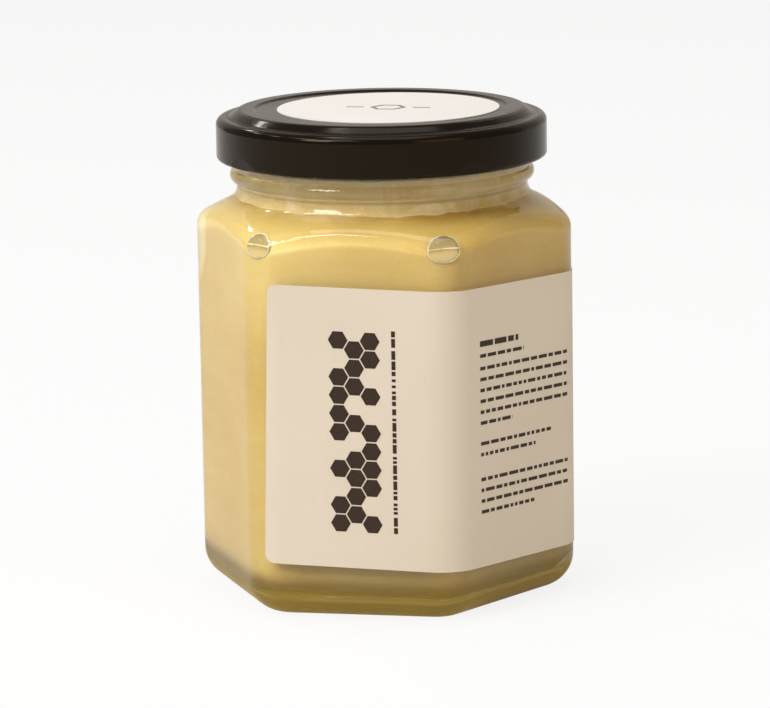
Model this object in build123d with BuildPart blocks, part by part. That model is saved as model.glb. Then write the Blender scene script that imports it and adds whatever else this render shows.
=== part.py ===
"""Jar of creamed honey: a six-sided glass jar with a twist-off metal lid, a wrapped paper label
and a round paper seal on the lid. Millimetres, +Z up, origin at the middle of the base.
The face that carries the label's first panel looks along -Y."""

import os
from math import cos, hypot, radians, sin, sqrt, tan

from build123d import *

# Glass body
across_flats = 63.1
edge_radius = 8.8  # of the six upright edges
heel_radius = 6.5
shoulder_height = 71.5  # of the shoulder over the middle of a flat
shoulder_slope = 27.0  # degrees below level
shoulder_roll = 3.2  # radius where the shoulder rolls over into the sides
wall = 2.7
floor_thickness = 4.8
push_up_radius = 19.0
push_up_depth = 1.1

# Glass neck and finish
neck_radius = 26.9
neck_root_radius = 3.0
neck_length = 4.0  # from the foot of the neck on the shoulder up to the middle of the bead
bead_radius = 28.1
bead_half_width = 1.3
finish_radius = 27.3
finish_height = 10.8  # from the middle of the bead up to the rim
mouth_radius = 24.5
rim_round = 1.3

# Threads of the finish, one for each lug of the lid
lug_count = 4
thread_turn = 62.0  # degrees that each thread runs round the finish
thread_lead = 9.0  # degrees that it starts ahead of its lug's edge
thread_drop = 1.6
thread_depth = 0.9
thread_width = 1.5

# Honey, and the froth that has risen to its top
headspace = 8.7  # from the froth up to the rim
froth_depth = 6.8

# Lid
lid_radius = 30.5
lid_height = 9.1
lid_wall = 0.4
lid_corner = 1.4  # radius between the skirt and the outer shoulder
shoulder_drop = 1.3  # of the outer shoulder below the raised ring
ring_outer = 26.3
ring_foot = 1.7  # that the ring's outer wall spreads towards its foot
ring_bend = 1.4
ring_inner = 23.6
panel_drop = 0.3  # of the middle panel below the raised ring
panel_bend = 0.6
seal_outer = 26.2  # of the sealing compound that seats on the rim
seal_thickness = 0.8
curl_radius = 0.75
lug_turn = 20.0
lug_direction = -46.0  # of one lug, degrees from +X
lug_clearance = 0.3
pinch_depth = 0.35  # of the skirt's flat over each lug
pinch_height = 2.2

# Paper
label_thickness = 0.15
label_low = 10.2
label_high = 61.5
label_start = -16.2  # along the first panel, from its middle
label_margin = 2.0  # left bare beyond the label on its last panel
label_tilt = 1.7  # degrees that the label was put on crooked
label_corner = 1.6
sticker_radius = 20.5
sticker_thickness = 0.12
sticker_offset = (1.3, 0.2)

# Worked out from the sizes above
apothem = across_flats / 2
side = 2 * apothem / sqrt(3)  # of the hexagon before its corners are rounded
flat_half = side / 2 - edge_radius * tan(radians(30))
far = 2 * across_flats
neck_foot = shoulder_height + (apothem - neck_radius) * tan(radians(shoulder_slope))
bead_height = neck_foot + neck_length
rim_height = bead_height + finish_height
froth_top = rim_height - headspace
honey_top = froth_top - froth_depth
ring_top = rim_height + seal_thickness + lid_wall
panel_top = ring_top - panel_drop
lid_bottom = ring_top - lid_height
lug_top = lid_bottom + 2 * curl_radius
seal_inner = ring_inner + panel_bend


def shoulder_at(radius, inset):
    """Height of the shoulder's cone at a radius, moved in square to itself by an inset."""
    slope = radians(shoulder_slope)
    return shoulder_height - (radius - apothem) * tan(slope) - inset / cos(slope)


def hexagon(outset):
    """The body's plan, moved out by an outset, its corners rounded about the same centres."""
    with BuildSketch(mode=Mode.PRIVATE) as plan:
        RegularPolygon(apothem + outset, 6, major_radius=False)
        fillet(plan.vertices(), edge_radius + outset)
    return plan.sketch


def on_ridge(edge, inset):
    """True for an edge where the shoulder's cone cuts the sides."""
    middle = edge.center()
    low, high = shoulder_at(side, inset), shoulder_at(apothem, inset)
    out = hypot(middle.X, middle.Y) > apothem - inset - 1
    return out and low - 1 < middle.Z < high + 1


def body(inset, base, heel, neck, root, steps):
    """The six-sided body on its base, cut by a cone at the shoulder and turned above it.
    steps are the radii and heights of the outline above the neck."""
    with BuildPart() as form:
        with BuildSketch(Plane.XY.offset(base)):
            add(hexagon(-inset))
        extrude(amount=rim_height + wall)
        fillet(form.faces().sort_by(Axis.Z)[0].edges(), heel)
        with BuildSketch(Plane.XZ) as outline:
            with BuildLine():
                foot = (neck, shoulder_at(neck, inset))
                edge = (far, shoulder_at(far, inset))
                Polyline((0, -far), (far, -far), edge, foot, *steps, close=True)
            make_face()
            fillet(outline.vertices().sort_by_distance(foot)[0], root)
        revolve(axis=Axis.Z, mode=Mode.INTERSECT)
        ridge = form.edges().filter_by(lambda edge: on_ridge(edge, inset))
        fillet(ridge, shoulder_roll)
    return form.part


def is_short(edge):
    """True for an edge across the label's thickness."""
    return edge.length < 2 * label_thickness


finish_steps = [
    (neck_radius, bead_height),
    (finish_radius, bead_height),
    (finish_radius, rim_height),
    (0, rim_height),
]
mouth_steps = [(mouth_radius, rim_height + wall), (0, rim_height + wall)]
blank = body(0, 0, heel_radius, neck_radius, neck_root_radius, finish_steps)
cavity = body(
    wall, floor_thickness, heel_radius - wall, mouth_radius, neck_root_radius + wall, mouth_steps
)

with BuildPart() as thread:
    with BuildLine() as thread_path:
        Helix(thread_drop * 360 / thread_turn, thread_drop, finish_radius)
    with BuildSketch(Plane(thread_path.line @ 0, x_dir=(1, 0, 0), z_dir=thread_path.line % 0)):
        Ellipse(thread_depth, thread_width / 2)
    sweep(path=thread_path.line, is_frenet=True)

with BuildPart() as glass_jar:
    add(blank)
    # Transfer bead below the lid
    with BuildSketch(Plane.XZ):
        with Locations((neck_radius, bead_height)):
            Ellipse(bead_radius - neck_radius, bead_half_width)
    revolve(axis=Axis.Z)
    add(cavity, mode=Mode.SUBTRACT)
    rim = glass_jar.faces().sort_by(Axis.Z)[-1]
    fillet(rim.edges(), min(rim_round, 0.45 * (finish_radius - mouth_radius)))
    # Each thread's low end lies over a lug of the lid
    thread_start = lug_direction - lug_turn / 2 - thread_lead
    thread_low = lug_top + lug_clearance + thread_width / 2
    with Locations((0, 0, thread_low)):
        with PolarLocations(0, lug_count, start_angle=thread_start):
            add(thread.part)
    # Push-up under the base, a shallow cap of a sphere
    ball = (push_up_radius**2 + push_up_depth**2) / (2 * push_up_depth)
    with Locations((0, 0, push_up_depth - ball)):
        Sphere(ball, mode=Mode.SUBTRACT)
glass_jar.part.label = "glass_jar"

with BuildPart() as honey:
    add(cavity)
    split(bisect_by=Plane.XY.offset(honey_top), keep=Keep.BOTTOM)
honey.part.label = "honey"

with BuildPart() as froth:
    add(cavity)
    split(bisect_by=Plane.XY.offset(honey_top))
    split(bisect_by=Plane.XY.offset(froth_top), keep=Keep.BOTTOM)
froth.part.label = "froth"

with BuildPart() as lug:
    with BuildSketch(Plane.XZ):
        lug_in = finish_radius + lug_clearance
        lug_out = lid_radius - curl_radius
        with Locations((lug_in, lid_bottom)):
            Rectangle(lug_out - lug_in, 2 * curl_radius, align=Align.MIN)
    revolve(axis=Axis.Z, revolution_arc=lug_turn)

with BuildPart() as pinch:
    # Wedge that flattens the foot of the skirt outside a lug
    with BuildSketch(Plane.XZ):
        Polygon(
            (lid_radius - pinch_depth, lid_bottom),
            (lid_radius, lid_bottom + pinch_height),
            (lid_radius + lid_height, lid_bottom + pinch_height),
            (lid_radius + lid_height, lid_bottom),
            align=None,
        )
    extrude(amount=lid_radius / 2, both=True)

with BuildPart() as lid:
    with BuildSketch(Plane.XZ):
        # Wall from the foot of the skirt, over the raised ring, to the axis
        half_wall = lid_wall / 2
        shoulder_line = ring_top - shoulder_drop - half_wall
        with BuildLine():
            FilletPolyline(
                (lid_radius - half_wall, lid_bottom + curl_radius),
                (lid_radius - half_wall, shoulder_line),
                (ring_outer + ring_foot, shoulder_line),
                (ring_outer, ring_top - half_wall),
                (ring_inner, ring_top - half_wall),
                (ring_inner - panel_bend, panel_top - half_wall),
                (0, panel_top - half_wall),
                radius=[lid_corner - half_wall, ring_bend, ring_bend, panel_bend, panel_bend],
            )
        trace(line_width=lid_wall)
        # Curl at the foot of the skirt
        with Locations((lid_radius - curl_radius, lid_bottom + curl_radius)):
            Circle(curl_radius)
        # Sealing compound, which seats on the rim
        with Locations((seal_inner, rim_height)):
            Rectangle(seal_outer - seal_inner, seal_thickness + half_wall, align=Align.MIN)
    revolve(axis=Axis.Z)
    with PolarLocations(0, lug_count, start_angle=lug_direction - lug_turn / 2):
        add(lug.part)
    with PolarLocations(0, lug_count, start_angle=lug_direction):
        add(pinch.part, mode=Mode.SUBTRACT)
lid.part.label = "lid"


# The label's middle line drops with its tilt along its first panel
fall = tan(radians(label_tilt))
label_half = (label_high - label_low) / 2
label_middle = label_low + label_half
start_middle = Vector(label_start, -apothem, label_middle - fall * label_start)
start_up = Vector(sin(radians(label_tilt)), 0, cos(radians(label_tilt))) * label_half

with BuildPart() as nick:
    # Cuts away the outside of a rounded upper left corner of the label
    with BuildSketch(Plane.XZ):
        with Locations((label_corner, -label_corner)):
            Rectangle(2 * label_corner, 2 * label_corner, align=(Align.MAX, Align.MIN))
            Circle(label_corner, mode=Mode.SUBTRACT)
    extrude(amount=edge_radius, both=True)

with BuildPart() as label:
    with BuildSketch():
        add(hexagon(label_thickness))
        add(hexagon(0), mode=Mode.SUBTRACT)
        # The panels from the first one to the one behind its right neighbour
        rays = [radians(ray) for ray in (-150, -60, 30, 75)]
        corners = [(far * cos(ray), far * sin(ray)) for ray in rays]
        Polygon((0, 0), *corners, align=None, mode=Mode.INTERSECT)
    extrude(amount=rim_height)
    # Band of the label's height, which drops alike along its first two panels
    lean = (fall, fall / sqrt(3), 1)
    with BuildSketch(Plane((0, 0, label_middle - fall * side / 2), z_dir=lean)):
        Circle(far)
    extrude(amount=label_half, both=True, mode=Mode.INTERSECT)
    split(bisect_by=Plane(start_middle, z_dir=(1, 0, -fall)))
    last_middle = Vector(0, -apothem, label_middle).rotate(Axis.Z, 120)
    last_along = Vector(1, 0, 0).rotate(Axis.Z, 120)
    label_end = last_middle + last_along * (flat_half - label_margin)
    split(bisect_by=Plane(label_end, z_dir=last_along), keep=Keep.BOTTOM)
    fillet(label.faces().sort_by(Axis.Y)[-1].edges().filter_by(is_short), label_corner)
    upper = Location(start_middle + start_up, (0, label_tilt, 0))
    lower = Location(start_middle - start_up, (0, label_tilt - 90, 0))
    with Locations(upper, lower):
        add(nick.part, mode=Mode.SUBTRACT)
label.part.label = "label"

with BuildPart() as lid_sticker:
    with BuildSketch(Plane.XY.offset(panel_top)):
        with Locations(sticker_offset):
            Circle(sticker_radius)
    extrude(amount=sticker_thickness)
lid_sticker.part.label = "lid_sticker"

os.makedirs("parts", exist_ok=True)
for piece in (glass_jar, honey, froth, lid, label, lid_sticker):
    export_step(piece.part, f"parts/{piece.part.label}.step")
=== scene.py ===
"""Looks of the honey jar: clear glass, pale creamed honey, enamelled lid and paper, in a plain
studio. Lengths are in metres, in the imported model's frame."""

import random
from math import cos, pi, radians, sin, sqrt, tan

import bpy
from mathutils import Matrix, Vector, noise


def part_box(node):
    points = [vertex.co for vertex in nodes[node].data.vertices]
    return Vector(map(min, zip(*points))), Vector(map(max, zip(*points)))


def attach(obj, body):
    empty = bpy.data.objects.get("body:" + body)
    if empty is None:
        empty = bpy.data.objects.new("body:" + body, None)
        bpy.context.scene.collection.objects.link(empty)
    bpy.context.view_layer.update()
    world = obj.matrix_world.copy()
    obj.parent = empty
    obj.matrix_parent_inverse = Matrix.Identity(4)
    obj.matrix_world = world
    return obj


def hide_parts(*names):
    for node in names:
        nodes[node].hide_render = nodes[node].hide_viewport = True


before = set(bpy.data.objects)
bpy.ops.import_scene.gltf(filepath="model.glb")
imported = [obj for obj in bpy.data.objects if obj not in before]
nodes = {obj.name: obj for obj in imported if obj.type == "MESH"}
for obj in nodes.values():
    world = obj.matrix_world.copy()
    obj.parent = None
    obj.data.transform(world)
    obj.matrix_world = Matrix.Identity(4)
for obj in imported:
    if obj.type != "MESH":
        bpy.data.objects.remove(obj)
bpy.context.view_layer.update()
rng = random.Random(7)

MM = 0.001

# Sizes read from the frame
glass_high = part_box("glass_jar")[1]
honey_low, honey_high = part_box("honey")
froth_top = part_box("froth")[1].z
lid_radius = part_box("lid")[1].x
label_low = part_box("label")[0]
sticker_low, sticker_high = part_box("lid_sticker")
apothem = glass_high.y
apothem_in = honey_high.y
corner_in = (apothem_in / cos(pi / 6) - honey_high.x) / (1 / cos(pi / 6) - 1)
corner_out = (apothem / cos(pi / 6) - glass_high.x) / (1 / cos(pi / 6) - 1)
wall = apothem - apothem_in
level = honey_high.z
floor_in = honey_low.z


# ---------------------------------------------------------------- mesh and node helpers


def new_object(name, verts, faces, smooth=True):
    mesh = bpy.data.meshes.new(name)
    mesh.from_pydata([tuple(v) for v in verts], [], faces)
    mesh.validate()
    mesh.update()
    for polygon in mesh.polygons:
        polygon.use_smooth = smooth
    item = bpy.data.objects.new(name, mesh)
    bpy.context.scene.collection.objects.link(item)
    return item


def ring_surface(rings, close_first=True, close_last=True):
    """Vertices and faces of a tube through rings of as many points each, with fans at its ends."""
    verts = [p for ring in rings for p in ring]
    n = len(rings[0])
    faces = []
    for k in range(len(rings) - 1):
        a, b = k * n, (k + 1) * n
        faces += [(a + i, a + (i + 1) % n, b + (i + 1) % n, b + i) for i in range(n)]
    for k, wanted in ((0, close_first), (len(rings) - 1, close_last)):
        if wanted:
            middle = len(verts)
            ring = rings[k]
            verts.append(sum((Vector(p) for p in ring), Vector()) / n)
            a = k * n
            fan = [(a + i, a + (i + 1) % n, middle) for i in range(n)]
            faces += [f[::-1] for f in fan] if k == 0 else fan
    return verts, faces


class Tree:
    """A material's node tree, with short calls to add and link nodes."""

    def __init__(self, name):
        self.material = bpy.data.materials.new(name)
        self.material.use_nodes = True
        self.tree = self.material.node_tree
        self.tree.nodes.clear()
        self.out = self.add("ShaderNodeOutputMaterial")

    def add(self, kind, **values):
        node = self.tree.nodes.new(kind)
        for key, value in values.items():
            if key in node.inputs:
                node.inputs[key].default_value = value
            else:
                setattr(node, key, value)
        return node

    def link(self, source, target):
        self.tree.links.new(source, target)

    def coords(self, scale=(1, 1, 1)):
        place = self.add("ShaderNodeTexCoord")
        mapping = self.add("ShaderNodeMapping")
        mapping.inputs["Scale"].default_value = scale
        self.link(place.outputs["Object"], mapping.inputs["Vector"])
        return mapping.outputs["Vector"]

    def noise(self, scale, detail=3.0, roughness=0.5, stretch=(1, 1, 1), distortion=0.0):
        """Noise of so many features a metre, 0 to 1."""
        node = self.add("ShaderNodeTexNoise")
        node.inputs["Scale"].default_value = scale
        node.inputs["Detail"].default_value = detail
        node.inputs["Roughness"].default_value = roughness
        node.inputs["Distortion"].default_value = distortion
        self.link(self.coords(stretch), node.inputs["Vector"])
        return node.outputs["Fac"]

    def height(self, low, high):
        """Height on the object, from 0 at one height to 1 at another."""
        place = self.add("ShaderNodeTexCoord")
        parts = self.add("ShaderNodeSeparateXYZ")
        span = self.add("ShaderNodeMapRange")
        span.inputs["From Min"].default_value = low
        span.inputs["From Max"].default_value = high
        self.link(place.outputs["Object"], parts.inputs[0])
        self.link(parts.outputs["Z"], span.inputs["Value"])
        return span.outputs["Result"]

    def nearness(self, centre, size, ragged=0.0, scale=100.0):
        """1 at a point, 0 beyond an ellipsoid of a size about it, with a ragged edge."""
        place = self.add("ShaderNodeTexCoord")
        shift = self.add("ShaderNodeVectorMath", operation="SUBTRACT")
        shift.inputs[1].default_value = centre
        squash = self.add("ShaderNodeVectorMath", operation="DIVIDE")
        squash.inputs[1].default_value = size
        length = self.add("ShaderNodeVectorMath", operation="LENGTH")
        self.link(place.outputs["Object"], shift.inputs[0])
        self.link(shift.outputs[0], squash.inputs[0])
        self.link(squash.outputs[0], length.inputs[0])
        wobble = self.add("ShaderNodeMath", operation="MULTIPLY_ADD")
        self.link(self.noise(scale, detail=3.0), wobble.inputs[0])
        wobble.inputs[1].default_value = ragged
        self.link(length.outputs["Value"], wobble.inputs[2])
        inverse = self.add("ShaderNodeMath", operation="SUBTRACT", use_clamp=True)
        inverse.inputs[0].default_value = 1.0 + ragged / 2
        self.link(wobble.outputs[0], inverse.inputs[1])
        return inverse.outputs[0]

    def ramp(self, fac, *stops):
        """Colours or greys along a factor, as (place, value) pairs."""
        node = self.add("ShaderNodeValToRGB")
        while len(node.color_ramp.elements) < len(stops):
            node.color_ramp.elements.new(0.5)
        for element, (place, value) in zip(node.color_ramp.elements, stops):
            element.position = place
            grey = (value, value, value) if isinstance(value, (int, float)) else value
            element.color = (*grey, 1)
        self.link(fac, node.inputs["Fac"])
        return node.outputs["Color"]

    def mix(self, fac, a, b, blend="MIX"):
        node = self.add("ShaderNodeMix", data_type="RGBA", blend_type=blend)
        for socket, value in ((node.inputs[0], fac), (node.inputs[6], a), (node.inputs[7], b)):
            if hasattr(value, "is_output"):
                self.link(value, socket)
            elif isinstance(value, (int, float)):
                socket.default_value = value
            else:
                socket.default_value = (*value, 1)
        return node.outputs[2]

    def total(self, a, b):
        """The sum of two factors, held to 1."""
        node = self.add("ShaderNodeMath", operation="ADD", use_clamp=True)
        self.link(a, node.inputs[0])
        self.link(b, node.inputs[1])
        return node.outputs[0]

    def share(self, fac, amount):
        """A part of a factor."""
        node = self.add("ShaderNodeMath", operation="MULTIPLY")
        self.link(fac, node.inputs[0])
        node.inputs[1].default_value = amount
        return node.outputs[0]

    def bump(self, height, distance, strength=1.0):
        node = self.add("ShaderNodeBump")
        node.inputs["Distance"].default_value = distance
        node.inputs["Strength"].default_value = strength
        self.link(height, node.inputs["Height"])
        return node.outputs["Normal"]

    def shader(self, colour=None, rough=None, normal=None, **values):
        """The Principled shader, linked to the output. A tuple or number is set on its socket."""
        node = self.add("ShaderNodeBsdfPrincipled")
        for key, value in (("Base Color", colour), ("Roughness", rough), ("Normal", normal)):
            if value is None:
                continue
            if hasattr(value, "is_output"):
                self.link(value, node.inputs[key])
            elif isinstance(value, (int, float)):
                node.inputs[key].default_value = value
            else:
                node.inputs[key].default_value = (*value, 1)
        for key, value in values.items():
            node.inputs[key.replace("_", " ")].default_value = value
        self.link(node.outputs[0], self.out.inputs["Surface"])
        return node


def rgb(red, green, blue):
    """Linear colour of an sRGB colour written 0 to 255."""
    return tuple(
        c / 12.92 if c <= 0.04045 else ((c + 0.055) / 1.055) ** 2.4
        for c in (red / 255, green / 255, blue / 255)
    )


def paint(item, material):
    item.data.materials.clear()
    item.data.materials.append(material)


# ---------------------------------------------------------------- materials


def glass_material():
    """Clear flint glass, with the honey's colour painted into its thick foot as painted refraction
    of the honey seen through it. Lamps light the honey through it."""
    t = Tree("jar glass")
    wave = t.noise(90, detail=1.0)
    foot = t.height(0.0, 10 * MM)
    # Painted refraction: the tint turns to the honey's yellow in the foot, standing for the honey
    # seen through the thick glass.
    tint_with_painted_refraction = t.ramp(
        foot, (0.3, (0.5, 0.44, 0.19)), (0.55, (0.8, 0.78, 0.6)), (0.85, (0.965, 0.98, 0.95))
    )
    body = t.shader(tint_with_painted_refraction, 0.0, t.bump(wave, 0.0004, 0.25), IOR=1.5, Transmission_Weight=1.0)
    # Painted refraction: a diffuse share in the honey's colour over the foot, where the honey shows
    # through the thick glass.
    painted_honey_refraction = t.add("ShaderNodeBsdfDiffuse")
    painted_honey_refraction.inputs["Color"].default_value = (*rgb(172, 144, 56), 1)
    heel = t.add("ShaderNodeMixShader")
    t.link(t.ramp(foot, (0.1, 0.62), (0.45, 0.55), (0.75, 0.0)), heel.inputs["Fac"])
    t.link(body.outputs[0], heel.inputs[1])
    t.link(painted_honey_refraction.outputs[0], heel.inputs[2])
    ray = t.add("ShaderNodeLightPath")
    clear = t.add("ShaderNodeBsdfTransparent")
    clear.inputs["Color"].default_value = (0.93, 0.94, 0.9, 1)
    both = t.add("ShaderNodeMixShader")
    t.link(ray.outputs["Is Shadow Ray"], both.inputs["Fac"])
    t.link(heel.outputs[0], both.inputs[1])
    t.link(clear.outputs[0], both.inputs[2])
    t.link(both.outputs[0], t.out.inputs["Surface"])
    return t.material


def honey_material():
    """Creamed honey against the glass: pale and fine-grained, with soft clouds and flow marks,
    darker just under the froth and at its foot, with a pool of painted light on the front's upper
    left and a pale painted reflection high on its left corner."""
    t = Tree("creamed honey")
    clouds = t.noise(38, detail=4.0, roughness=0.55, stretch=(1, 1, 0.55), distortion=0.6)
    base = t.ramp(
        clouds, (0.3, rgb(210, 176, 92)), (0.55, rgb(219, 188, 106)), (0.8, rgb(228, 202, 128))
    )
    streaks = t.noise(130, detail=3.0, roughness=0.6, stretch=(0.35, 0.35, 2.2))
    base = t.mix(t.ramp(streaks, (0.45, 0.0), (0.8, 0.2)), base, rgb(235, 216, 160))
    grain = t.noise(2600, detail=2.0)
    base = t.mix(t.ramp(grain, (0.5, 0.0), (0.75, 0.16)), base, rgb(240, 226, 178))
    foot = t.height(floor_in, floor_in + 9 * MM)
    base = t.mix(t.ramp(foot, (0.0, 0.45), (0.35, 0.12), (0.7, 0.0)), base, rgb(160, 134, 58))
    # Painted light: a paler pool high on the front's left, where the key lamp falls.
    glow = t.nearness((-20 * MM, -27 * MM, 63 * MM), (22 * MM, 22 * MM, 16 * MM), 0.5, 60)
    base = t.mix(t.ramp(glow, (0.0, 0.0), (0.8, 0.45)), base, rgb(244, 222, 150))
    # Painted reflection: a pale patch high on the left corner, standing for the bright backdrop
    # mirrored in the glass edge there.
    painted_reflection_patch = t.nearness((-34 * MM, 1 * MM, 67 * MM), (9 * MM, 9 * MM, 13 * MM), 0.5, 160)
    base = t.mix(t.ramp(painted_reflection_patch, (0.16, 0.0), (0.34, 0.6)), base, rgb(244, 232, 196))
    under = t.height(level - 3.2 * MM, level + 0.4 * MM)
    band = t.ramp(under, (0.0, 0.0), (0.55, 0.8), (1.0, 0.9))
    patches = t.ramp(t.noise(70, detail=3.0, distortion=0.5), (0.38, 0.25), (0.6, 1.0))
    base = t.mix(t.mix(1.0, band, patches, "MULTIPLY"), base, rgb(186, 142, 52))
    t.shader(
        base,
        0.34,
        t.bump(grain, 0.00008, 0.3),
        IOR=1.48,
        Specular_IOR_Level=0.35,
        Subsurface_Weight=0.25,
        Subsurface_Scale=0.004,
        Subsurface_Radius=(1.0, 0.62, 0.22),
    )
    return t.material


def froth_material():
    """The honey's top: pale froth, mottled with bare patches and drawn into upright folds."""
    t = Tree("honey froth")
    blots = t.noise(170, detail=5.0, roughness=0.6, distortion=0.8, stretch=(1, 1, 0.8))
    base = t.ramp(
        blots, (0.34, rgb(220, 192, 126)), (0.52, rgb(228, 204, 146)), (0.7, rgb(238, 222, 180))
    )
    folds = t.noise(300, detail=2.0, stretch=(1, 1, 0.3))
    base = t.mix(t.ramp(folds, (0.58, 0.0), (0.74, 0.3)), base, rgb(196, 162, 96))
    # Painted light: paler towards the top, to make up for the lid's shade on the neck.
    rise = t.height(level, froth_top)
    base = t.mix(t.ramp(rise, (0.45, 0.0), (0.8, 0.45)), base, rgb(240, 226, 184))
    # Painted shade: a dark line at the height of the groove under the glass bead, drawn on the
    # froth.
    painted_groove_shade = t.ramp(rise, (0.3, 0.0), (0.38, 0.6), (0.46, 0.0))
    base = t.mix(painted_groove_shade, base, rgb(140, 116, 62))
    fine = t.noise(1500, detail=2.0)
    t.shader(base, 0.5, t.bump(fine, 0.0003, 0.6), IOR=1.45, Specular_IOR_Level=0.3)
    return t.material


def enamel_material():
    """Black enamel on tinplate: glossy, with a faint orange peel, dust and rubbed patches."""
    t = Tree("lid enamel")
    peel = t.noise(700, detail=2.0)
    rub = t.noise(55, detail=5.0, roughness=0.6)
    dust = t.noise(3200, detail=1.0)
    base = t.mix(t.ramp(dust, (0.68, 0.0), (0.8, 0.12)), rgb(19, 12, 5), rgb(84, 70, 50))
    rough = t.ramp(rub, (0.35, 0.1), (0.75, 0.22))
    t.shader(
        base,
        rough,
        t.bump(peel, 0.00006, 0.25),
        IOR=1.5,
        Specular_IOR_Level=0.17,
        Specular_Tint=(1, 0.84, 0.64, 1),
    )
    return t.material


def paper_material(name, colour, shade, rough):
    """Label paper: fibres, a slow change of tone, and a faint tooth."""
    t = Tree(name)
    tone = t.noise(30, detail=2.0)
    base = t.mix(t.ramp(tone, (0.3, 0.0), (0.8, 1.0)), colour, shade)
    fibre = t.noise(900, detail=4.0, roughness=0.7, stretch=(1, 1, 0.35), distortion=1.2)
    base = t.mix(t.ramp(fibre, (0.55, 0.0), (0.72, 0.14)), base, tuple(0.8 * c for c in colour))
    t.shader(base, rough, t.bump(fibre, 0.00005, 0.4), Specular_IOR_Level=0.25)
    return t.material


def ink_material(name, colour):
    """Dark print, slightly uneven where the paper takes less of it."""
    t = Tree(name)
    take = t.noise(1400, detail=3.0, roughness=0.7)
    thin = tuple(2.2 * c + 0.01 for c in colour)
    base = t.mix(t.ramp(take, (0.5, 0.0), (0.8, 0.25)), colour, thin)
    t.shader(base, 0.55, Specular_IOR_Level=0.3)
    return t.material


def bubble_material(middle_height, size):
    """An air bubble against the glass, in painted reflection: its upper half mirrors the dark, its
    lower the honey.
    """
    t = Tree("air bubble")
    side = t.height(middle_height - size, middle_height + size)
    base = t.ramp(
        side,
        (0.0, rgb(226, 206, 150)),
        (0.4, rgb(214, 190, 124)),
        (0.5, rgb(188, 166, 108)),
        (0.75, rgb(176, 156, 100)),
        (1.0, rgb(120, 106, 70)),
    )
    t.shader(base, 0.2, t.bump(t.noise(900, detail=1.0), 0.0001, 0.4), Specular_IOR_Level=0.6)
    return t.material


def bubble_highlight_material():
    """The bubble's bright edge, and the light that it draws into a line: painted highlights."""
    t = Tree("bubble painted highlight")
    shine = t.noise(900, detail=1.0)
    base = t.ramp(shine, (0.3, rgb(222, 204, 152)), (0.62, rgb(250, 244, 224)))
    t.shader(base, 0.15, Specular_IOR_Level=0.6)
    return t.material


# ---------------------------------------------------------------- the jar's outlines


def outline_radius(angle, flat, corner):
    """Distance from the axis to a hexagon with flats facing -Y and +Y and rounded corners."""
    turn = angle % radians(60) - radians(30)
    near = radians(30) - abs(turn)
    half = (flat - corner) * tan(radians(30))
    straight = flat / cos(turn)
    if flat * tan(abs(turn)) <= half:
        return straight
    middle = (flat - corner) / cos(radians(30))
    across = middle * sin(near)
    return middle * cos(near) + sqrt(max(corner * corner - across * across, 0.0))


def soft_min(a, b, width):
    """The smaller of two lengths, rounded over where they meet."""
    gap = max(width - abs(a - b), 0.0) / width
    return min(a, b) - gap * gap * width / 4


HEEL = 6.5 * MM - wall  # of the cavity, where its floor rolls up into the sides
SHOULDER = 71.5 * MM  # height of the outer shoulder over a flat
SLOPE = radians(27)  # of the shoulder
ROOT = 3.0 * MM + wall  # radius that carries the cavity's shoulder into its neck
MOUTH = 24.5 * MM  # radius of the cavity in the neck
ROLL = 2.8 * MM  # over which the cavity's sides bend into its shoulder
REACH = 0.2 * MM  # that the honey goes into the glass, so that no air shows between them


def turned_radius(z):
    """Radius of the cavity's cone, or of its curve into the neck, at a height."""
    foot = SHOULDER - wall / cos(SLOPE)
    cone = apothem + (foot - z) / tan(SLOPE)
    join = foot - (MOUTH - apothem) * tan(SLOPE) + ROOT * tan(radians(45) - SLOPE / 2)
    below = join - z
    if below > ROOT * cos(SLOPE):
        return cone
    return MOUTH + ROOT - sqrt(ROOT * ROOT - max(below, 0.0) ** 2)


def cavity_radius(angle, z):
    """Distance from the axis to the glass inside the jar."""
    inset = 0.0
    if z < floor_in + HEEL:
        inset = HEEL - sqrt(max(HEEL * HEEL - (floor_in + HEEL - z) ** 2, 0.0))
    six = outline_radius(angle, apothem_in - inset, corner_in - inset)
    return soft_min(six, turned_radius(z), ROLL)


# ---------------------------------------------------------------- honey

AROUND = 360
angles = [2 * pi * k / AROUND for k in range(AROUND)]


def ring_at(z, grow=REACH):
    radii = [cavity_radius(angle, z) + grow for angle in angles]
    return [Vector((r * cos(a), r * sin(a), z)) for r, a in zip(radii, angles)]


def honey_piece():
    """The honey out to the glass, from the floor up to the froth."""
    heel_steps, wall_rows, wall_step, top_rows = 10, 27, 2 * MM, 36
    heights = [
        floor_in + HEEL * (1 - cos(pi / 2 * k / heel_steps)) for k in range(heel_steps + 1)
    ]
    heights += [floor_in + HEEL + k * wall_step for k in range(1, wall_rows + 1)]
    top_start = heights[-1]
    heights += [top_start + (level - top_start) * (k + 1) / top_rows for k in range(top_rows)]
    rings = [ring_at(z) for z in heights]
    for p in rings[0]:
        p.z -= REACH
    verts, faces = ring_surface(rings)
    return new_object("honey_body", verts, faces)


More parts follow.
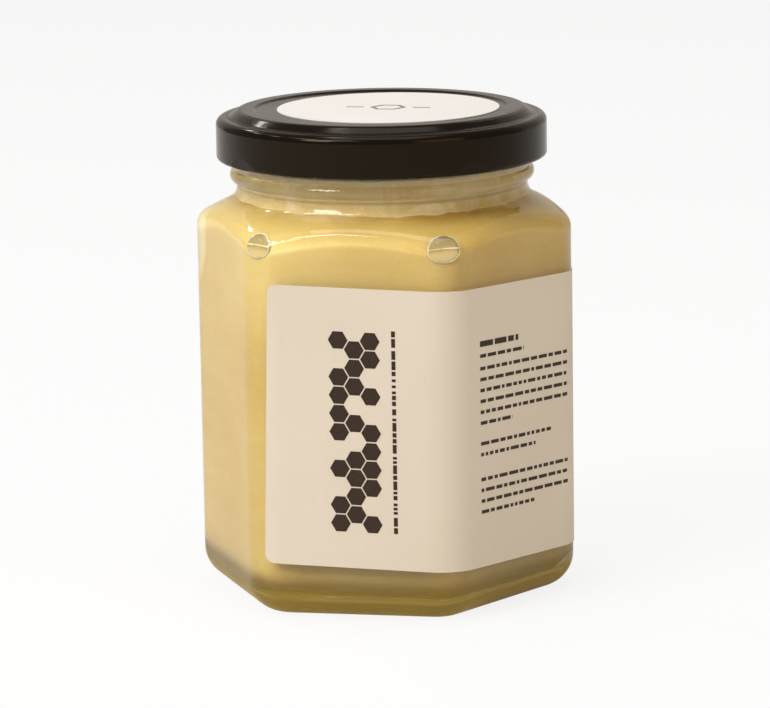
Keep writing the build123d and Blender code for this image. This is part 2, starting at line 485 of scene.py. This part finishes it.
def froth_piece():
    """The froth in the neck: wavy where it meets the honey, lumpy and level on top."""
    rings = []
    steps, circles = 24, 40
    for k in range(steps + 1):
        ring = []
        for angle in angles:
            turn = Vector((cos(angle), sin(angle), 0))
            drips = 0.9 * max(noise.noise(turn * 5), 0.0) + 0.3 * noise.noise(turn * 14)
            foot = level - MM * (0.25 + drips)
            z = foot + (froth_top - foot) * k / steps
            ring.append(turn * (cavity_radius(angle, z) + 1.3 * REACH) + Vector((0, 0, z)))
        rings.append(ring)
    for c in range(circles - 1, 0, -1):
        ring = []
        for p in rings[steps]:
            spot = Vector((p.x, p.y, 0)) * c / circles
            swell = noise.noise(spot * 160) * 0.4 + noise.noise(spot * 520) * 0.16
            lumps = max(noise.noise(spot * 1300 + Vector((3, 1, 5))), 0.0) * 0.2
            fade = min(1.0, (1 - c / circles) * 10)
            ring.append(spot + Vector((0, 0, froth_top + MM * (swell + lumps) * fade)))
        rings.append(ring)
    verts, faces = ring_surface(rings)
    return new_object("honey_froth", verts, faces)


honey = honey_piece()
paint(honey, honey_material())
froth = froth_piece()
paint(froth, froth_material())
for piece, node in ((honey, "honey"), (froth, "froth")):
    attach(piece, "root")
    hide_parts(node)


# Two air bubbles caught between the honey and the glass of the front edges. Each is given by its
# turn from +X and half its height.

BUBBLE_HEIGHT = 68.0 * MM
BUBBLE_LEAN = radians(14)
BUBBLE_WIDTH = 1.3  # times its height
BUBBLE_SWELL = 0.35 * MM  # of its face, from its edge to its middle
BUBBLE_OUT = 3 * REACH  # of its edge, from the cavity's wall into the glass
BUBBLES = ((radians(-121.9), 1.75 * MM), (radians(-60.4), 2.1 * MM))


def bubble_swell(share):
    """How far a bubble's face stands out, at a share of the way from its middle to its edge."""
    return BUBBLE_SWELL * sqrt(max(1.01 - share * share, 0.0))


def on_bubble(turn, across, up, out):
    """A point on the plane of a bubble by the inner wall, and out from it into the glass."""
    flat = Vector((cos(turn), sin(turn), 0))
    middle = flat * (cavity_radius(turn, BUBBLE_HEIGHT) + BUBBLE_OUT)
    middle += Vector((0, 0, BUBBLE_HEIGHT))
    normal = flat * cos(BUBBLE_LEAN) + Vector((0, 0, sin(BUBBLE_LEAN)))
    level_way = Vector((-sin(turn), cos(turn), 0))
    return middle + level_way * (across * BUBBLE_WIDTH) + normal.cross(level_way) * up + normal * out


def bubble_pane(turn, size):
    """The bubble's face, a lens that swells a little into the glass."""
    spokes, circles = 48, 8
    steps = [2 * pi * k / spokes for k in range(spokes)]
    rings = []
    for side in (1, -1):
        for c in range(1, circles + 1) if side > 0 else range(circles - 1, 0, -1):
            reach = size * c / circles
            out = side * bubble_swell(c / circles)
            rings.append([on_bubble(turn, reach * cos(a), reach * sin(a), out) for a in steps])
    return ring_surface(rings)


def tube(path, radius, sides=8, closed=False):
    """A round tube along points, whose sides lean with the radius from the jar's axis."""
    rings = []
    for k, point in enumerate(path):
        after = path[(k + 1) % len(path)] if closed or k + 1 < len(path) else point
        before = path[k - 1] if closed or k else point
        along = (after - before).normalized()
        out = Vector((point.x, point.y, 0)).normalized()
        side = along.cross(out).normalized()
        steps = [2 * pi * s / sides for s in range(sides)]
        rings.append([point + radius * (out * cos(a) + side * sin(a)) for a in steps])
    if closed:
        rings.append(rings[0])
    return ring_surface(rings, not closed, not closed)


def bubble_rim(turn, size):
    """The bubble's bright edge and the bright line across it, tubes that carry its painted
    highlights.
    """
    steps = [2 * pi * k / 64 for k in range(64)]
    edge = [on_bubble(turn, size * cos(a), size * sin(a), 0.04 * MM) for a in steps]
    shares = [k / 10 - 1 for k in range(21)]
    line = [on_bubble(turn, size * s, 0.06 * size, bubble_swell(s)) for s in shares]
    return [tube(edge, 0.09 * MM, closed=True), tube(line, 0.1 * MM)]


def joined(name, parts):
    verts, faces = [], []
    for part_verts, part_faces in parts:
        start = len(verts)
        verts += part_verts
        faces += [tuple(start + i for i in face) for face in part_faces]
    return new_object(name, verts, faces)


panes = joined("bubble_panes", [bubble_pane(*bubble) for bubble in BUBBLES])
paint(panes, bubble_material(BUBBLE_HEIGHT, BUBBLES[1][1]))
# Painted highlights: the bubbles' bright edges and the bright lines across them.
highlight_rims = joined("bubble_highlights", [tubes for bubble in BUBBLES for tubes in bubble_rim(*bubble)])
paint(highlight_rims, bubble_highlight_material())
for piece in (panes, highlight_rims):
    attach(piece, "root")

paint(nodes["glass_jar"], glass_material())
paint(nodes["lid"], enamel_material())
cream = rgb(226, 214, 196)
paint(nodes["label"], paper_material("label paper", cream, rgb(219, 206, 187), 0.62))
white = rgb(250, 245, 241)
paint(nodes["lid_sticker"], paper_material("seal paper", white, rgb(243, 238, 233), 0.4))


# ---------------------------------------------------------------- print on the label

TILT = radians(1.7)  # of the label, which is on a little crooked
LABEL_LOW, LABEL_HIGH = 10.2 * MM, 61.5 * MM
label_mid = (LABEL_LOW + LABEL_HIGH) / 2
INK = 0.03 * MM  # that the print stands proud of the paper
paper_out = -label_low.y - apothem
flat_half = (apothem - corner_out) * tan(radians(30))
bend = corner_out + paper_out
panel_pitch = 2 * flat_half + bend * radians(60)


def on_label(along, up, out):
    """Point by the label's face: along it from the first panel's middle, round the corners, and
    up from its middle line."""
    panel = round(along / panel_pitch)
    rest = along - panel * panel_pitch
    straight = max(-flat_half, min(flat_half, rest))
    lean = (rest - straight) / bend
    reach = bend + out
    x, y = straight + reach * sin(lean), -(apothem - corner_out + reach * cos(lean))
    turn = radians(60) * panel
    spot = (x * cos(turn) - y * sin(turn), x * sin(turn) + y * cos(turn))
    return Vector((*spot, label_mid + up - tan(TILT) * along))


def print_piece(name, shapes, place, material):
    """Thin closed plates of ink, each shape a list of corners anticlockwise."""
    verts, faces = [], []
    for shape in shapes:
        start, n = len(verts), len(shape)
        verts += [place(*corner, -INK / 2) for corner in shape]
        verts += [place(*corner, INK) for corner in shape]
        faces.append(tuple(start + k for k in reversed(range(n))))
        faces.append(tuple(start + n + k for k in range(n)))
        for k in range(n):
            after = (k + 1) % n
            faces.append((start + k, start + after, start + n + after, start + n + k))
    item = new_object(name, verts, faces, smooth=False)
    paint(item, material)
    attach(item, "root")
    return item


def bar(x, y, width, height):
    """An upright rectangle, in pieces short enough to bend round the label's corners."""
    count = max(1, round(width / (0.8 * MM)))
    step = width / count
    return [
        [(a, y), (a + step, y), (a + step, y + height), (a, y + height)]
        for a in (x + k * step for k in range(count))
    ]


def regular(x, y, radius, sides=6):
    steps = [2 * pi * k / sides for k in range(sides)]
    return [(x + radius * cos(a), y + radius * sin(a)) for a in steps]


ink = ink_material("label ink", rgb(52, 36, 25))


def comb(left, right, low, high):
    """A strip of filled honeycomb cells in three staggered columns, with cells left out."""
    cell = (right - left) / 5
    pitch = 2 * cell * cos(radians(30))
    rows = round((high - low) / pitch)
    shapes = []
    for column in range(3):
        shift = pitch / 2 if column == 1 else 0
        for row in range(rows - (column == 1)):
            if (row * 2 + column * 3) % 7 in (1, 4):
                continue
            spot = (left + cell * (1 + 1.5 * column), low + pitch * (row + 0.5) + shift)
            shapes.append(regular(*spot, cell * 0.93))
    return shapes


def dashes(x, low, high, width):
    """A thin upright line of short dashes, uneven in length as printed words are."""
    shapes, y = [], low
    while y < high:
        length = rng.choice((0.5, 0.8, 1.1, 1.6)) * MM
        shapes += bar(x, y, width, min(length, high - y))
        y += length + rng.choice((0.28, 0.28, 0.6)) * MM
    return shapes


def text_line(x, y, width, height, longest=2.6):
    """One line of greeked print: bars of uneven length that fill the width."""
    shapes, at = [], 0.0
    while at < width:
        length = min(rng.uniform(0.7, longest) * MM, width - at)
        shapes += bar(x + at, y, length, height)
        at += length + 0.5 * MM
    return shapes


front = comb(-4.6 * MM, 5.1 * MM, -19.1 * MM, 18.9 * MM)
front += dashes(7.05 * MM, -18.9 * MM, 18.3 * MM, 0.72 * MM)
print_piece("label_print_front", front, on_label, ink)

LINE = 2.0 * MM  # from one line of print to the next
TEXT_HEIGHT = 0.64 * MM
text_left, text_width = 24.8 * MM, 25.4 * MM
side = text_line(text_left, 14.9 * MM, 11.0 * MM, 1.05 * MM, 4.5)
side += text_line(text_left, 12.9 * MM, 12.6 * MM, TEXT_HEIGHT)
for block_top, widths in (
    (10.6, (1, 1, 1, 1, 1, 0.36)),
    (-3.2, (0.8, 0.62)),
    (-9.8, (1, 1, 1, 0.6)),
):
    for k, share in enumerate(widths):
        side += text_line(text_left, block_top * MM - k * LINE, text_width * share, TEXT_HEIGHT)
print_piece("label_print_side", side, on_label, ink)


def on_seal(x, y, out):
    middle = (sticker_low + sticker_high) / 2
    return Vector((middle.x + x, middle.y + y, sticker_high.z + out))


def seal_mark():
    """A small comb cell drawn in outline, with a bar on either side."""
    outer, inner = regular(0, 0, 3.4 * MM), regular(0, 0, 2.6 * MM)
    shapes = []
    for k in range(6):
        after = (k + 1) % 6
        shapes.append([inner[k], outer[k], outer[after], inner[after]])
    for side_of in (-1, 1):
        shapes += bar(side_of * 6.2 * MM - 1.6 * MM, -0.35 * MM, 3.2 * MM, 0.7 * MM)
    return shapes


print_piece("seal_print", seal_mark(), on_seal, ink_material("seal ink", rgb(126, 120, 114)))


# ---------------------------------------------------------------- floor, light and camera


SEEN_WHITE = 0.85  # part of the floor's colour that is plain white to the camera
MIRRORED_WHITE = 0.3  # the same in glass and enamel


def stage():
    """A pale floor that rolls up into a backdrop, near white to the camera where unshaded."""
    width, near, far, high, bend = 3.0, 1.6, 2.4, 2.2, 0.5
    path = [(-near, 0.0), (far - bend, 0.0)]
    path += [
        (far - bend + bend * sin(radians(a)), bend - bend * cos(radians(a))) for a in range(9, 91, 9)
    ]
    path.append((far, high))
    verts = [(side * width, y, z - 0.00002) for y, z in path for side in (-1, 1)]
    faces = [(2 * k, 2 * k + 1, 2 * k + 3, 2 * k + 2) for k in range(len(path) - 1)]
    floor = new_object("studio_floor", verts, faces)
    t = Tree("studio paper")
    paper = t.shader((0.9, 0.9, 0.9), 0.85)
    ray = t.add("ShaderNodeLightPath")
    camera_ray = ray.outputs["Is Camera Ray"]
    mirrored = t.total(ray.outputs["Is Glossy Ray"], ray.outputs["Is Transmission Ray"])
    seen = t.total(t.share(camera_ray, SEEN_WHITE), t.share(mirrored, MIRRORED_WHITE))
    glow = t.add("ShaderNodeEmission")
    t.link(t.mix(camera_ray, (1, 0.9, 0.76), (1, 1, 1)), glow.inputs["Color"])
    both = t.add("ShaderNodeMixShader")
    t.link(seen, both.inputs["Fac"])
    t.link(paper.outputs[0], both.inputs[1])
    t.link(glow.outputs[0], both.inputs[2])
    t.link(both.outputs[0], t.out.inputs["Surface"])
    paint(floor, t.material)


stage()


def lamp(name, azimuth, elevation, distance, size, power, colour=(1, 1, 1), tall=None):
    """A soft square or strip lamp, turned from the front to the right, that aims at the jar."""
    light = bpy.data.lights.new(name, "AREA")
    light.shape = "RECTANGLE"
    light.size = size
    light.size_y = tall or size
    light.energy = power
    light.color = colour
    item = bpy.data.objects.new(name, light)
    bpy.context.scene.collection.objects.link(item)
    turn, rise = radians(azimuth), radians(elevation)
    middle = Vector((0, 0, 45 * MM))
    away = Vector((sin(turn) * cos(rise), -cos(turn) * cos(rise), sin(rise)))
    item.location = middle + distance * away
    item.rotation_euler = (-away).to_track_quat("-Z", "Y").to_euler()
    return item


lamp("key", -38, 35, 1.3, 0.4, 5.6, (1, 0.98, 0.96))
lamp("fill", 52, 20, 1.2, 0.7, 2.2, (1, 0.8, 0.54))
lamp("top", 0, 85, 1.1, 0.8, 4)
lamp("strip", -32, 48.5, 1.2, 0.7, 2.5, tall=0.02)
lamp("spot_a", -62, 48, 1.2, 0.22, 0.6, tall=0.03)
lamp("spot_b", -88, 44, 1.2, 0.12, 0.4, tall=0.05)
lamp("spot_c", -112, 40, 1.2, 0.12, 0.4, tall=0.05)
lamp("glint_a", -126, 71.5, 1.2, 0.12, 0.6)
lamp("glint_b", -136, 37.6, 1.2, 0.16, 0.6, tall=0.05)

world = bpy.data.worlds.new("studio")
bpy.context.scene.world = world
world.use_nodes = True
sky = world.node_tree.nodes["Background"]
sky.inputs["Color"].default_value = (1, 0.965, 0.9, 1)
sky.inputs["Strength"].default_value = 0.28

# The view: turned a little to the jar's right of its front face, from just above the lid
TURN = radians(10.56)
DISTANCE = 25.0 * lid_radius
EYE = 6.367 * lid_radius
TILT_DOWN = radians(11.19)
ROLL_VIEW = radians(0.92)
camera = bpy.data.cameras.new("camera")
camera.sensor_width = 36
camera.lens = 195.0
camera.clip_start = 0.01
eye = bpy.data.objects.new("camera", camera)
bpy.context.scene.collection.objects.link(eye)
eye.location = (DISTANCE * sin(TURN), -DISTANCE * cos(TURN), EYE)
turn = Matrix.Rotation(TURN, 4, "Z")
look = Matrix.Rotation(pi / 2 - TILT_DOWN, 4, "X")
roll = Matrix.Rotation(-ROLL_VIEW, 4, "Z")
eye.rotation_euler = (turn @ look @ roll).to_euler()
bpy.context.scene.camera = eye
bpy.context.scene.view_settings.view_transform = "Standard"
